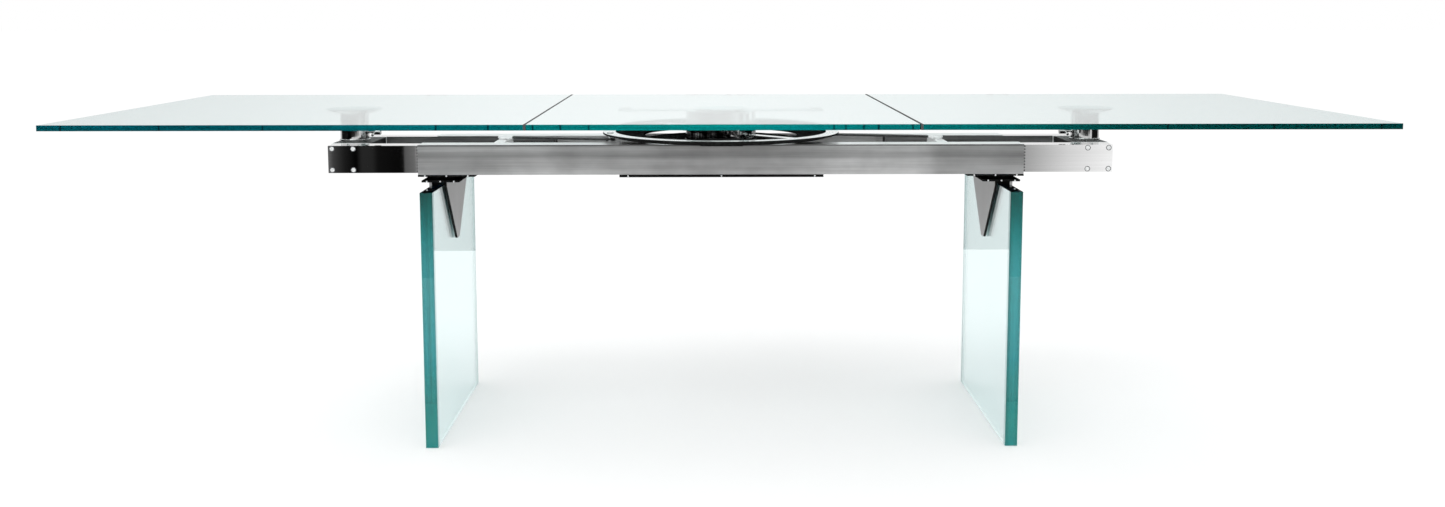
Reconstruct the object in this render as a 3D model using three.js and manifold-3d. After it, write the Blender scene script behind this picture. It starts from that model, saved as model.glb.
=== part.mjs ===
// Extendable glass dining table, millimetres, +Z up, drawn fully extended.
// X runs along the table, Y across it, the floor is Z = 0.
import * as THREE from "three";
import Module from "manifold-3d";

// ---- overall sizes -------------------------------------------------------
const TABLE_HEIGHT = 750;
const TABLE_DEPTH = 1000;
const LEAF_THICKNESS = 12;
const CENTRE_LEAF_LENGTH = 803;
const OUTER_LEAF_LENGTH = 986.5;
const SEAM = 3;
const FIT = 0.3; // clearance left between neighbouring pieces
const RUNNING = 0.1; // radial clearance of a pin or shaft that turns or slides

// ---- fixed beams and the rails that slide in them ------------------------
const SLEEVE_HALF_LENGTH = 697;
const SLEEVE_TOP = 674;
const SLEEVE_BOTTOM = 605;
const SLEEVE_OUTER_Y = 146;
const SLEEVE_INNER_Y = 87;
const SLEEVE_WEB = 4;
const SLEEVE_TOP_FLANGE = 1.5;
const SLEEVE_BOTTOM_FLANGE = 4;
const RAIL_INNER_X = 407;
const RAIL_OUTER_X = 903;
const RAIL_WALL = 3;
const RAIL_END_WALL = 6;
const RAIL_TOP = SLEEVE_TOP - SLEEVE_TOP_FLANGE - FIT;
const RAIL_BOTTOM = SLEEVE_BOTTOM + SLEEVE_BOTTOM_FLANGE + FIT;
const RAIL_OUTER_Y = SLEEVE_OUTER_Y - SLEEVE_WEB - FIT;

// ---- slider-crank that moves the carriages -------------------------------
const CROSS_BAR_X = 522;
const CROSS_BAR_WIDTH = 24;
const CROSS_BAR_DEPTH = 20;
const LOCK_ANGLE = THREE.MathUtils.degToRad(13);
const CRANK = CROSS_BAR_X / 2 / Math.cos(LOCK_ANGLE);
const PIN_RADIUS = 6;
const PIN_HOLE = PIN_RADIUS + RUNNING;
const ROD_BOTTOM = 676.6;
const ROD_TOP = 681.2;
const ROD_HALF_WIDTH = 12;
const PIN_FOOT_RADIUS = 10;
const PIN_FOOT_Z = 674.6;
const PIN_HEAD_RADIUS = 8;
const PIN_HEAD_HEIGHT = 1.2;
const CLIP_RADIUS = 9;
const CLIP_GAP = 0.2;
const CLIP_HEIGHT = 0.8;
const RING_BOTTOM = 682.5;
const RING_TOP = 687;
const RING_OUTER = 282;
const RIM_INNER = 252;
const RIM_WALL = 4;
const RIM_BOTTOM = 689.3;
const RIM_TOP = 693.6;
const RACE_OUTER = 200;
const RACE_INNER = 184;
const RACE_FOOT_HALF = 48;
const RACE_FOOT_INNER_Y = 96;
const SHIELD_INNER = 87.5;
const SHIELD_OUTER = 178;
const SHIELD_TOP = 675.3;
const SHIELD_SLOT_X = 106; // clears the cross-bar pins when the table is closed
const SHIELD_SLOT_HALF = 14;
const CAM_ARM_ANGLE = 135; // degrees from +X to the left-hand cam arm
const CAM_ARM_REACH = [86.5, 250];
const CAM_ARM_LEG = 5.5;
const CAM_ARM_HALF_WIDTH = 12;
const CAM_ARM_THICKNESS = 3;
const FOLLOWER_RADIUS = 3;
const FOLLOWER_Z = 680.4;
const FOLLOWER_INNER = 79;
const RING_TURN = 90.1; // degrees from extended to closed

// ---- centre column and lift ----------------------------------------------
const COLUMN_RADIUS = 36;
const COLUMN_FLANGE = 60;
const COLUMN_FLANGE_HEIGHT = 5;
const COLUMN_TOP = 684.5;
const SHAFT_RADIUS = 27;
const SHAFT_GROOVE = 1.5;
const SPLINES = 24;
const SHAFT_BOTTOM = 648;
const LIFT_DROP = 42.4;
const DRUM_RADIUS = 84;
const DRUM_WALL = 3;
const DRUM_BOTTOM = 672;
const SLOT_CLEARANCE = 0.25;
const ARM_BOTTOM = 730.9;
const ARM_TOP = 734.4;
const ARM_HALF_LENGTH = 245;
const ARM_HALF_WIDTH = 20;
const PAD_X = 228;
const PAD_HALF = 14;
const LIFT_DISC_RADIUS = 64;

// ---- posts that carry the outer leaves -----------------------------------
const POST_X = 875.5;
const POST_RADIUS = 33.5;
const POST_FOOT_RADIUS = 36;
const POST_FOOT_HEIGHT = 4;
const LEAF_DISC_RADIUS = 65;
const LEAF_DISC_RIM = 2.4;
const LEAF_DISC_DEPTH = 11;
const END_BLOCK_INNER_X = 821;
const END_BLOCK_OUTER_X = 909;
const END_BLOCK_DEPTH = 32;
const LOCK_KNOB_Z = 692;
const LOCK_STEM_RADIUS = 4;
const LOCK_STEM_LENGTH = 10;
const LOCK_GRIP_RADIUS = 7;
const LOCK_LENGTH = 29;
const LOCK_CHAMFER = 2;

// ---- plates under the beams and the glass legs ---------------------------
const LEG_PLATE_THICKNESS = 4.2;
const MECHANISM_PLATE_THICKNESS = 6;
const MECHANISM_PLATE_HALF = 235;
const LEG_PLATE_X = [567, 697.5];
const LEG_SPACER_X = [622, 670];
const LEG_SPACER_HALF_Y = 110;
const LEG_HEAD_X = [603.5, 689.5];
const LEG_HEAD_Z = [587.7, 591.9];
const LEG_GLASS_X = [640, 668];
const LEG_GLASS_HALF_Y = 272.5;
const LEG_GLASS_TOP = 580;
const CLAMP_THICKNESS = 6;
const CLAMP_BOTTOM = 437;
const CLAMP_TOP_HALF = 135;
const CLAMP_BOTTOM_HALF = 13;
const CLAMP_SHOULDER = 10; // upright part of the sides, below the head plate
const CLAMP_CORNER = [3, 3]; // slant cut off the lower corners

const GLASS_BOTTOM = TABLE_HEIGHT - LEAF_THICKNESS;
const SEAL_THICKNESS = { left: 2.4, right: 1.1 }; // they meet when the table is closed
const SEAL_INSET = 0.3; // seal set in from the top and bottom glass faces
const SIDES = { left: -1, right: 1 };
const FINE = 48; // segments round a large circle
const COARSE = 24; // segments round a small circle

const wasm = await Module();
wasm.setup();

const table = new THREE.Group();
table.name = "extendable_dining_table";

// ---- geometry helpers ----------------------------------------------------
function signedVolume(position, index) {
  const a = new THREE.Vector3();
  const b = new THREE.Vector3();
  const c = new THREE.Vector3();
  let volume = 0;
  for (let i = 0; i < index.length; i += 3) {
    a.fromBufferAttribute(position, index[i]);
    b.fromBufferAttribute(position, index[i + 1]);
    c.fromBufferAttribute(position, index[i + 2]);
    volume += a.dot(b.cross(c)) / 6;
  }
  return volume;
}

// Indexed geometry with its faces turned outward.
function solid(points, index) {
  const geometry = new THREE.BufferGeometry();
  geometry.setAttribute("position", new THREE.Float32BufferAttribute(points.flat(), 3));
  const faces = [...index];
  if (signedVolume(geometry.getAttribute("position"), faces) < 0) {
    faces.reverse();
  }
  geometry.setIndex(faces);
  geometry.computeVertexNormals();
  return geometry;
}

function add(name, geometry) {
  const mesh = new THREE.Mesh(geometry);
  mesh.name = name;
  table.add(mesh);
}

// Box between two limits on each axis; limits may come in either order.
function box(limitsX, limitsY, limitsZ) {
  const size = [limitsX, limitsY, limitsZ].map(([low, high]) => Math.abs(high - low));
  const middle = [limitsX, limitsY, limitsZ].map(([low, high]) => (low + high) / 2);
  return new THREE.BoxGeometry(...size).translate(...middle);
}

// Both limits mirrored to the wanted side of the table.
function onSide(side, [low, high]) {
  return [side * low, side * high];
}

// Outline drawn in X and Y, raised from one height to another.
function raised(outline, bottom, top) {
  const geometry = new THREE.ExtrudeGeometry(outline, {
    depth: top - bottom,
    bevelEnabled: false,
    curveSegments: FINE,
  });
  return geometry.translate(0, 0, bottom);
}

// Outline drawn in Y and Z, run along X.
function along(outline, start, end) {
  const geometry = new THREE.ExtrudeGeometry(outline, {
    depth: Math.abs(end - start),
    bevelEnabled: false,
    curveSegments: COARSE,
  });
  const axes = new THREE.Matrix4().makeBasis(
    new THREE.Vector3(0, 1, 0),
    new THREE.Vector3(0, 0, 1),
    new THREE.Vector3(1, 0, 0),
  );
  return geometry.applyMatrix4(axes).translate(Math.min(start, end), 0, 0);
}

function outlineOf(points) {
  return new THREE.Shape(points.map(([u, v]) => new THREE.Vector2(u, v)));
}

function circlePath(u, v, radius, segments = COARSE) {
  const points = [];
  for (let i = 0; i < segments; i += 1) {
    const angle = (2 * Math.PI * i) / segments;
    points.push(new THREE.Vector2(u + radius * Math.cos(angle), v + radius * Math.sin(angle)));
  }
  return points;
}

// Solid of revolution about Z from a closed profile of [radius, height] points.
function revolved(profile, segments = FINE) {
  const points = [];
  const rings = profile.map(([radius, height]) => {
    const count = radius === 0 ? 1 : segments;
    const ring = [];
    for (let i = 0; i < count; i += 1) {
      const angle = (2 * Math.PI * i) / segments;
      ring.push(points.length);
      points.push([radius * Math.cos(angle), radius * Math.sin(angle), height]);
    }
    return ring;
  });
  const index = [];
  rings.forEach((ring, k) => {
    const next = rings[(k + 1) % rings.length];
    for (let i = 0; i < segments; i += 1) {
      const j = (i + 1) % segments;
      const [a, b] = [ring[i % ring.length], ring[j % ring.length]];
      const [c, d] = [next[i % next.length], next[j % next.length]];
      if (a !== b) index.push(a, b, c);
      if (c !== d) index.push(b, d, c);
    }
  });
  return solid(points, index);
}

function cylinder(radius, bottom, top, segments = FINE) {
  return revolved([[0, bottom], [radius, bottom], [radius, top], [0, top]], segments);
}

function tube(inner, outer, bottom, top, segments = FINE) {
  return revolved(
    [[inner, bottom], [outer, bottom], [outer, top], [inner, top]],
    segments,
  );
}

function toManifold(geometry) {
  const position = geometry.getAttribute("position");
  const seen = new Map();
  const points = [];
  const remap = [];
  for (let i = 0; i < position.count; i += 1) {
    const point = [position.getX(i), position.getY(i), position.getZ(i)];
    const key = point.map((value) => value.toFixed(4)).join();
    if (!seen.has(key)) {
      seen.set(key, points.length);
      points.push(point);
    }
    remap.push(seen.get(key));
  }
  const source = geometry.getIndex() ? [...geometry.getIndex().array] : [...remap.keys()];
  return new wasm.Manifold(new wasm.Mesh({
    numProp: 3,
    vertProperties: new Float32Array(points.flat()),
    triVerts: new Uint32Array(source.map((i) => remap[i])),
  }));
}

function fromManifold(manifold) {
  const mesh = manifold.getMesh();
  const points = [];
  for (let i = 0; i < mesh.vertProperties.length; i += mesh.numProp) {
    points.push([...mesh.vertProperties.slice(i, i + 3)]);
  }
  return solid(points, mesh.triVerts);
}

function cut(body, tool) {
  return fromManifold(toManifold(body).subtract(toManifold(tool)));
}

function joined(body, other) {
  return fromManifold(toManifold(body).add(toManifold(other)));
}

// ---- the fixed frame -----------------------------------------------------
// Channel open towards the middle of the table.
function sleeve(side) {
  const innerWeb = SLEEVE_OUTER_Y - SLEEVE_WEB;
  const profile = [
    [SLEEVE_INNER_Y, SLEEVE_BOTTOM],
    [SLEEVE_OUTER_Y, SLEEVE_BOTTOM],
    [SLEEVE_OUTER_Y, SLEEVE_TOP],
    [SLEEVE_INNER_Y, SLEEVE_TOP],
    [SLEEVE_INNER_Y, SLEEVE_TOP - SLEEVE_TOP_FLANGE],
    [innerWeb, SLEEVE_TOP - SLEEVE_TOP_FLANGE],
    [innerWeb, SLEEVE_BOTTOM + SLEEVE_BOTTOM_FLANGE],
    [SLEEVE_INNER_Y, SLEEVE_BOTTOM + SLEEVE_BOTTOM_FLANGE],
  ];
  const outline = outlineOf(profile.map(([y, z]) => [side * y, z]));
  return along(outline, -SLEEVE_HALF_LENGTH, SLEEVE_HALF_LENGTH);
}

function plateUnderBeams(limitsX, thickness) {
  const top = SLEEVE_BOTTOM - FIT;
  return box(limitsX, [-SLEEVE_OUTER_Y, SLEEVE_OUTER_Y], [top - thickness, top]);
}

// Star outline of the splined lift shaft, widened all round by a clearance.
function splineOutline(clearance) {
  const points = [];
  for (let i = 0; i < 2 * SPLINES; i += 1) {
    const depth = i % 2 === 0 ? 0 : SHAFT_GROOVE;
    const radius = SHAFT_RADIUS - depth + clearance;
    const angle = (Math.PI * i) / SPLINES;
    points.push([radius * Math.cos(angle), radius * Math.sin(angle)]);
  }
  return outlineOf(points);
}

// Tube with a foot flange and a splined bore that stops the lift from turning.
function centreColumn() {
  const footTop = SLEEVE_BOTTOM + COLUMN_FLANGE_HEIGHT;
  const body = revolved([
    [0, SLEEVE_BOTTOM],
    [COLUMN_FLANGE, SLEEVE_BOTTOM],
    [COLUMN_FLANGE, footTop],
    [COLUMN_RADIUS, footTop],
    [COLUMN_RADIUS, COLUMN_TOP],
    [0, COLUMN_TOP],
  ]);
  return cut(body, raised(splineOutline(RUNNING), SLEEVE_BOTTOM - 1, COLUMN_TOP + 1));
}

// Fixed inner race of the crank ring, on a foot that stands on each beam.
function guideRace() {
  const footTop = RING_BOTTOM + 1;
  const ring = tube(RACE_INNER, RACE_OUTER, RING_BOTTOM, RING_TOP, 2 * FINE);
  const halfX = [-RACE_FOOT_HALF, RACE_FOOT_HALF];
  const foot = (side) => box(
    halfX,
    onSide(side, [RACE_FOOT_INNER_Y, RACE_INNER + 5]),
    [SLEEVE_TOP + FIT, footTop],
  );
  return joined(joined(ring, foot(-1)), foot(1));
}

// Dark tray round the drum, slotted for the cross-bar pins and the race's feet.
function greaseShield() {
  const bottom = SLEEVE_TOP + FIT;
  const overrun = [bottom - 1, SHIELD_TOP + 1];
  const disc = tube(SHIELD_INNER, SHIELD_OUTER, bottom, SHIELD_TOP, 2 * FINE);
  const footHalf = RACE_FOOT_HALF + 2;
  const slotY = [-SHIELD_SLOT_HALF, SHIELD_SLOT_HALF];
  return Object.values(SIDES).reduce((shape, side) => {
    const slot = box(onSide(side, [SHIELD_SLOT_X, SHIELD_OUTER + 1]), slotY, overrun);
    const notchY = onSide(side, [RACE_FOOT_INNER_Y - 2, SHIELD_OUTER + 1]);
    const notch = box([-footHalf, footHalf], notchY, overrun);
    return cut(cut(shape, slot), notch);
  }, disc);
}

function addFrame() {
  const mechanismX = [-MECHANISM_PLATE_HALF, MECHANISM_PLATE_HALF];
  add("sleeve_front", sleeve(-1));
  add("sleeve_back", sleeve(1));
  add("mechanism_plate", plateUnderBeams(mechanismX, MECHANISM_PLATE_THICKNESS));
  add("centre_column", centreColumn());
  add("guide_race", guideRace());
  add("grease_shield", greaseShield());
}

// ---- legs ----------------------------------------------------------------
function legGlass(side) {
  const half = LEG_GLASS_HALF_Y;
  const outline = outlineOf([[-half, 0], [half, 0], [half, LEG_GLASS_TOP], [-half, LEG_GLASS_TOP]]);
  return along(outline, ...onSide(side, LEG_GLASS_X));
}

// Downward-pointing plate with its lower corners cut back.
function clampPlate(limitsX) {
  const top = LEG_HEAD_Z[0] - FIT;
  const shoulder = top - CLAMP_SHOULDER;
  const [cutY, cutZ] = CLAMP_CORNER;
  const outline = outlineOf([
    [-CLAMP_BOTTOM_HALF, CLAMP_BOTTOM],
    [CLAMP_BOTTOM_HALF, CLAMP_BOTTOM],
    [CLAMP_BOTTOM_HALF + cutY, CLAMP_BOTTOM + cutZ],
    [CLAMP_TOP_HALF, shoulder],
    [CLAMP_TOP_HALF, top],
    [-CLAMP_TOP_HALF, top],
    [-CLAMP_TOP_HALF, shoulder],
    [-CLAMP_BOTTOM_HALF - cutY, CLAMP_BOTTOM + cutZ],
  ]);
  return along(outline, ...limitsX);
}

function addLeg(label, side) {
  const plateX = onSide(side, LEG_PLATE_X);
  const plateBottom = SLEEVE_BOTTOM - FIT - LEG_PLATE_THICKNESS;
  const spacerZ = [LEG_HEAD_Z[1] + FIT, plateBottom - FIT];
  const beamY = [-SLEEVE_OUTER_Y, SLEEVE_OUTER_Y];
  const spacerY = [-LEG_SPACER_HALF_Y, LEG_SPACER_HALF_Y];
  const gasketZ = [LEG_GLASS_TOP + FIT, LEG_HEAD_Z[0] - FIT];
  const gasketY = [-CLAMP_TOP_HALF, CLAMP_TOP_HALF];
  const innerClamp = [LEG_GLASS_X[0] - FIT - CLAMP_THICKNESS, LEG_GLASS_X[0] - FIT];
  const outerClamp = [LEG_GLASS_X[1] + FIT, LEG_GLASS_X[1] + FIT + CLAMP_THICKNESS];
  add(`leg_mount_plate_${label}`, plateUnderBeams(plateX, LEG_PLATE_THICKNESS));
  add(`leg_spacer_${label}`, box(onSide(side, LEG_SPACER_X), spacerY, spacerZ));
  add(`leg_head_plate_${label}`, box(onSide(side, LEG_HEAD_X), beamY, LEG_HEAD_Z));
  add(`leg_gasket_${label}`, box(onSide(side, LEG_GLASS_X), gasketY, gasketZ));
  add(`leg_clamp_inner_${label}`, clampPlate(onSide(side, innerClamp)));
  add(`leg_clamp_outer_${label}`, clampPlate(onSide(side, outerClamp)));
  add(`glass_leg_${label}`, legGlass(side));
}

// ---- rotor ---------------------------------------------------------------
function crankPoint(side) {
  return [side * CRANK * Math.cos(LOCK_ANGLE), side * CRANK * Math.sin(LOCK_ANGLE)];
}

// Flat ring with a raised outer rim, bored for the two crank pins.
function rotorRing() {
  const ring = revolved([
    [RACE_OUTER + 2 * RUNNING, RING_BOTTOM],
    [RIM_INNER + RIM_WALL, RING_BOTTOM],
    [RIM_INNER + RIM_WALL, RIM_BOTTOM],
    [RING_OUTER, RIM_BOTTOM],
    [RING_OUTER, RIM_TOP],
    [RIM_INNER, RIM_TOP],
    [RIM_INNER, RING_TOP],
    [RACE_OUTER + 2 * RUNNING, RING_TOP],
  ], 2 * FINE);
  const bore = (side) => cylinder(PIN_HOLE, RING_BOTTOM - 1, RIM_TOP + 1, COARSE)
    .translate(...crankPoint(side), 0);
  return cut(cut(ring, bore(-1)), bore(1));
}

// Bar on top of the ring, over the race, down to a follower in the drum's slot.
function camArm(side) {
  const [inner, outer] = CAM_ARM_REACH;
  const bottom = RING_TOP + FIT;
  const legBottom = FOLLOWER_Z - FOLLOWER_RADIUS - 1;
  const halfY = [-CAM_ARM_HALF_WIDTH, CAM_ARM_HALF_WIDTH];
  const bar = box([inner, outer], halfY, [bottom, bottom + CAM_ARM_THICKNESS]);
  const leg = box([inner, inner + CAM_ARM_LEG], halfY, [legBottom, bottom + 1]);
  const follower = cylinder(FOLLOWER_RADIUS, FOLLOWER_INNER, inner + 1, COARSE)
    .rotateY(Math.PI / 2)
    .translate(0, 0, FOLLOWER_Z);
  const turn = CAM_ARM_ANGLE + (side < 0 ? 0 : 180);
  return joined(joined(bar, leg), follower).rotateZ(THREE.MathUtils.degToRad(turn));
}

// Pin with a foot below the rod and a flat head above the rim.
function crankPin(side) {
  const [x, y] = crankPoint(side);
  const headBottom = RIM_TOP + FIT;
  const pin = revolved([
    [0, PIN_FOOT_Z],
    [PIN_FOOT_RADIUS, PIN_FOOT_Z],
    [PIN_FOOT_RADIUS, ROD_BOTTOM - FIT],
    [PIN_RADIUS, ROD_BOTTOM - FIT],
    [PIN_RADIUS, headBottom],
    [PIN_HEAD_RADIUS, headBottom],
    [PIN_HEAD_RADIUS, headBottom + PIN_HEAD_HEIGHT],
    [0, headBottom + PIN_HEAD_HEIGHT],
  ], COARSE);
  return pin.translate(x, y, 0);
}

function addRotor() {
  add("rotor_ring", rotorRing());
  Object.entries(SIDES).forEach(([label, side]) => {
    add(`crank_pin_${label}`, crankPin(side));
    add(`cam_arm_${label}`, camArm(side));
  });
}

// Flat bar with round ends and an eye at each pin.
function linkRod(side) {
  const start = new THREE.Vector2(...crankPoint(side));
  const end = new THREE.Vector2(side * CROSS_BAR_X, 0);
  const heading = end.clone().sub(start).angle();
  const outline = new THREE.Shape();
  const quarter = Math.PI / 2;
  outline.absarc(end.x, end.y, ROD_HALF_WIDTH, heading - quarter, heading + quarter, false);
  outline.absarc(start.x, start.y, ROD_HALF_WIDTH, heading + quarter, heading + 3 * quarter, false);
  const rounded = new THREE.Shape(outline.getPoints(10).slice(0, -1));
  [start, end].forEach((eye) => {
    rounded.holes.push(new THREE.Path(circlePath(eye.x, eye.y, PIN_HOLE)));
  });
  return raised(rounded, ROD_BOTTOM, ROD_TOP);
}

// ---- carriages -----------------------------------------------------------
// Box-section rail, closed at its outer end and open at its inner end.
function rail(side, front) {
  const outerY = [SLEEVE_INNER_Y, RAIL_OUTER_Y];
  const innerY = [SLEEVE_INNER_Y + RAIL_WALL, RAIL_OUTER_Y - RAIL_WALL];
  const body = box(
    onSide(side, [RAIL_INNER_X, RAIL_OUTER_X]),
    onSide(front, outerY),
    [RAIL_BOTTOM, RAIL_TOP],
  );
  const hollow = box(
    onSide(side, [RAIL_INNER_X - 1, RAIL_OUTER_X - RAIL_END_WALL]),
    onSide(front, innerY),
    [RAIL_BOTTOM + RAIL_WALL, RAIL_TOP - RAIL_WALL],
  );
  return cut(body, hollow);
}

function crossBarPin(side) {
  const clip = ROD_TOP + CLIP_GAP;
  const pin = revolved([
    [0, RAIL_TOP + FIT],
    [PIN_FOOT_RADIUS, RAIL_TOP + FIT],
    [PIN_FOOT_RADIUS, ROD_BOTTOM - FIT],
    [PIN_RADIUS, ROD_BOTTOM - FIT],
    [PIN_RADIUS, clip],
    [CLIP_RADIUS, clip],
    [CLIP_RADIUS, clip + CLIP_HEIGHT],
    [0, clip + CLIP_HEIGHT],
  ], COARSE);
  return pin.translate(side * CROSS_BAR_X, 0, 0);
}

// Clamping knob standing out of the post towards the middle of the table.
function lockKnob(side) {
  const knob = revolved([
    [0, 0],
    [LOCK_STEM_RADIUS, 0],
    [LOCK_STEM_RADIUS, LOCK_STEM_LENGTH],
    [LOCK_GRIP_RADIUS, LOCK_STEM_LENGTH + LOCK_CHAMFER],
    [LOCK_GRIP_RADIUS, LOCK_LENGTH - LOCK_CHAMFER],
    [LOCK_GRIP_RADIUS - LOCK_CHAMFER, LOCK_LENGTH],
    [0, LOCK_LENGTH],
  ], COARSE);
  const start = side * (POST_X - POST_RADIUS - FIT);
  return knob.rotateY((-side * Math.PI) / 2).translate(start, 0, LOCK_KNOB_Z);
}

function addCarriage(label, side) {
  const innerY = SLEEVE_INNER_Y - FIT;
  const halfBar = CROSS_BAR_WIDTH / 2;
  const leafStart = CENTRE_LEAF_LENGTH / 2 + SEAM;
  const discTop = GLASS_BOTTOM - FIT;
  const postTop = discTop - LEAF_DISC_DEPTH - FIT;
  const footTop = RAIL_TOP + FIT + POST_FOOT_HEIGHT;
  const postX = side * POST_X;
  const halfDepth = TABLE_DEPTH / 2;
  add(`rail_front_${label}`, rail(side, -1));
  add(`rail_back_${label}`, rail(side, 1));
  add(`cross_bar_${label}`, box(
    onSide(side, [CROSS_BAR_X - halfBar, CROSS_BAR_X + halfBar]),
    [-innerY, innerY],
    [RAIL_TOP - CROSS_BAR_DEPTH, RAIL_TOP],
  ));
  add(`cross_bar_pin_${label}`, crossBarPin(side));
  add(`end_block_${label}`, box(
    onSide(side, [END_BLOCK_INNER_X, END_BLOCK_OUTER_X]),
    [-innerY, innerY],
    [RAIL_TOP - END_BLOCK_DEPTH, RAIL_TOP],
  ));
  const post = revolved([
    [0, RAIL_TOP + FIT],
    [POST_FOOT_RADIUS, RAIL_TOP + FIT],
    [POST_FOOT_RADIUS, footTop - 1],
    [POST_RADIUS, footTop],
    [POST_RADIUS, postTop],
    [0, postTop],
  ]);
  add(`post_${label}`, post.translate(postX, 0, 0));
  add(`lock_knob_${label}`, lockKnob(side));
  const disc = revolved([
    [0, postTop + FIT],
    [POST_RADIUS + 2, postTop + FIT],
    [LEAF_DISC_RADIUS, discTop - LEAF_DISC_RIM],
    [LEAF_DISC_RADIUS, discTop],
    [0, discTop],
  ]);
  add(`leaf_disc_${label}`, disc.translate(postX, 0, 0));
  add(`seam_seal_${label}`, box(
    onSide(side, [leafStart - FIT - SEAL_THICKNESS[label], leafStart - FIT]),
    [-halfDepth, halfDepth],
    [GLASS_BOTTOM + SEAL_INSET, TABLE_HEIGHT - SEAL_INSET],
  ));
  add(`outer_leaf_${label}`, box(
    onSide(side, [leafStart, leafStart + OUTER_LEAF_LENGTH]),
    [-halfDepth, halfDepth],
    [GLASS_BOTTOM, TABLE_HEIGHT],
  ));
}

// ---- centre leaf and its lift --------------------------------------------
// Band that cuts one helical slot: it rises by the lift's drop over the ring's travel.
function slotCutter(side) {
  const steps = COARSE;
  const overrun = 4; // degrees past each end of the travel
  const halfHeight = FOLLOWER_RADIUS / Math.cos(Math.atan(leadSlope())) + SLOT_CLEARANCE;
  const points = [];
  const index = [];
  for (let i = 0; i <= steps; i += 1) {
    const turned = -overrun + ((RING_TURN + 2 * overrun) * i) / steps;
    const start = CAM_ARM_ANGLE + (side < 0 ? 0 : 180);
    const angle = THREE.MathUtils.degToRad(start - turned);
    const height = FOLLOWER_Z + (LIFT_DROP * turned) / RING_TURN;
    [[DRUM_RADIUS - 3 * DRUM_WALL, -1], [DRUM_RADIUS + DRUM_WALL, -1],
      [DRUM_RADIUS + DRUM_WALL, 1], [DRUM_RADIUS - 3 * DRUM_WALL, 1]].forEach(([radius, up]) => {
      points.push([radius * Math.cos(angle), radius * Math.sin(angle), height + up * halfHeight]);
    });
  }
  for (let i = 0; i < steps; i += 1) {
    for (let k = 0; k < 4; k += 1) {
      const [a, b] = [4 * i + k, 4 * i + ((k + 1) % 4)];
      index.push(a, b, a + 4, b, b + 4, a + 4);
    }
  }
  const last = 4 * steps;
  index.push(0, 2, 1, 0, 3, 2, last, last + 1, last + 2, last, last + 2, last + 3);
  return solid(points, index);
}

// Rise of the slot for each millimetre round the drum.
function leadSlope() {
  return LIFT_DROP / (THREE.MathUtils.degToRad(RING_TURN) * DRUM_RADIUS);
}

// Cup, open below, with two helical slots that the cam followers run in.
function liftDrum() {
  const top = ARM_BOTTOM - FIT;
  const inner = DRUM_RADIUS - DRUM_WALL;
  const shell = revolved([
    [SHAFT_RADIUS + FIT, top - DRUM_WALL],
    [inner, top - DRUM_WALL],
    [inner, DRUM_BOTTOM],
    [DRUM_RADIUS, DRUM_BOTTOM],
    [DRUM_RADIUS, top],
    [SHAFT_RADIUS + FIT, top],
  ]);
  return cut(cut(shell, slotCutter(-1)), slotCutter(1));
}

function addCentreLift() {
  const halfLeaf = CENTRE_LEAF_LENGTH / 2;
  const halfDepth = TABLE_DEPTH / 2;
  const padZ = [ARM_TOP + FIT, GLASS_BOTTOM - FIT];
  add("lift_shaft", raised(splineOutline(0), SHAFT_BOTTOM, ARM_BOTTOM - FIT));
  add("lift_drum", liftDrum());
  add("lift_arm", box(
    [-ARM_HALF_LENGTH, ARM_HALF_LENGTH],
    [-ARM_HALF_WIDTH, ARM_HALF_WIDTH],
    [ARM_BOTTOM, ARM_TOP],
  ));
  add("lift_disc", cylinder(LIFT_DISC_RADIUS, ...padZ));
  Object.entries(SIDES).forEach(([label, side]) => {
    const padX = onSide(side, [PAD_X - PAD_HALF, PAD_X + PAD_HALF]);
    add(`lift_pad_${label}`, box(padX, [-PAD_HALF, PAD_HALF], padZ));
  });
  add("centre_leaf", box(
    [-halfLeaf, halfLeaf],
    [-halfDepth, halfDepth],
    [GLASS_BOTTOM, TABLE_HEIGHT],
  ));
}

addFrame();
addRotor();
addCentreLift();
Object.entries(SIDES).forEach(([label, side]) => {
  addLeg(label, side);
  add(`link_rod_${label}`, linkRod(side));
  addCarriage(label, side);
});

export default table;
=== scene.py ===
"""Looks of the extendable glass dining table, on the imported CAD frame. Metres, +Z up."""
from itertools import product
import math

import bmesh
import bpy
from mathutils import Matrix, Vector


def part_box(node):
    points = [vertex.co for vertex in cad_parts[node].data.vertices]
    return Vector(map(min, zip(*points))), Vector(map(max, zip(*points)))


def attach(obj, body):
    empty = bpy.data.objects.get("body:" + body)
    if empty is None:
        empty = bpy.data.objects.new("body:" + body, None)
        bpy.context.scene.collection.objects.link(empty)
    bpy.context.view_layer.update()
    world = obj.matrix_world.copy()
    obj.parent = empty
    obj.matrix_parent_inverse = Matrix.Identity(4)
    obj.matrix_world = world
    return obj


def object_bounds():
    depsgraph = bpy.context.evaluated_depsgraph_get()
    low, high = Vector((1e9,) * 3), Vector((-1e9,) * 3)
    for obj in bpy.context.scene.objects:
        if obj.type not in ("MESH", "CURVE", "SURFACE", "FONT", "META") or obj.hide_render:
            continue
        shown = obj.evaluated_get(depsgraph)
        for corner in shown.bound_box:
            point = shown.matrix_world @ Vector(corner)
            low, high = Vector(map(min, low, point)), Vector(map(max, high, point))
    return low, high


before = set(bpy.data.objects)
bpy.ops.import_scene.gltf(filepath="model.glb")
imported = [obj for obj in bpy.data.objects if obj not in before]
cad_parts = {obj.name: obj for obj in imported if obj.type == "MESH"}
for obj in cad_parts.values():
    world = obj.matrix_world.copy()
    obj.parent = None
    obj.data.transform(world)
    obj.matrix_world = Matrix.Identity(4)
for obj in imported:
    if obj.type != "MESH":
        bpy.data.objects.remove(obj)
CAD_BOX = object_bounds()
MM = 0.001
SIDES = {"left": -1, "right": 1}
FACES = {"front": -1, "back": 1}
LENGTHWISE, ACROSS, UPRIGHT = 0, 1, 2

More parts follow.
